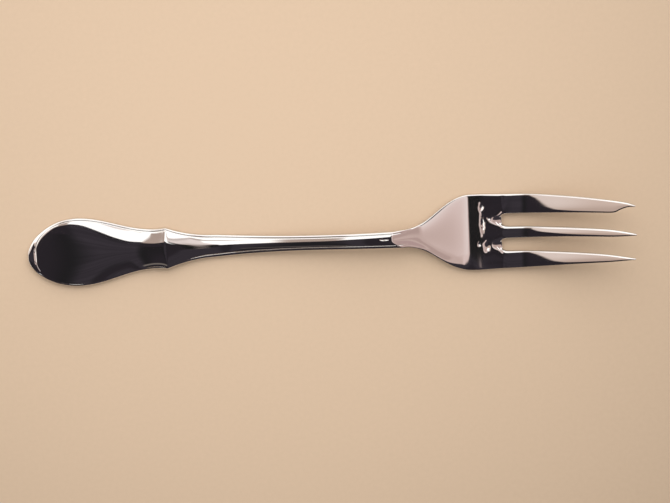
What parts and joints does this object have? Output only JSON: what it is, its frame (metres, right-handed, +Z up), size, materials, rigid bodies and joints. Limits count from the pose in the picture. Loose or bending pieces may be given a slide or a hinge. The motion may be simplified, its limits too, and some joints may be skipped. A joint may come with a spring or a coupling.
{
  "type": "pastry fork",
  "caption": "Small polished steel fork with a broad pointed handle, slim arched stem and flared head with one wide cutting tine, for eating cake and pastry.",
  "frame": {"origin": "under the middle of the fork's box, on the surface that it rests on", "axes": "+X along the fork, from the handle's tip to the tine tips; +Y towards the wide cutting tine; +Z up, out of the fork's face"},
  "size_m": [0.15, 0.0196, 0.0102],
  "materials": {
    "polished_steel": "mirror-polished stainless steel with very fine lengthwise polishing lines"
  },
  "bodies": {
    "root": {"handle": "polished_steel", "shoulder": "polished_steel", "stem": "polished_steel", "neck": "polished_steel", "palm": "polished_steel", "cutting_tine": "polished_steel", "middle_tine": "polished_steel", "outer_tine": "polished_steel"}
  },
  "joints": []
}
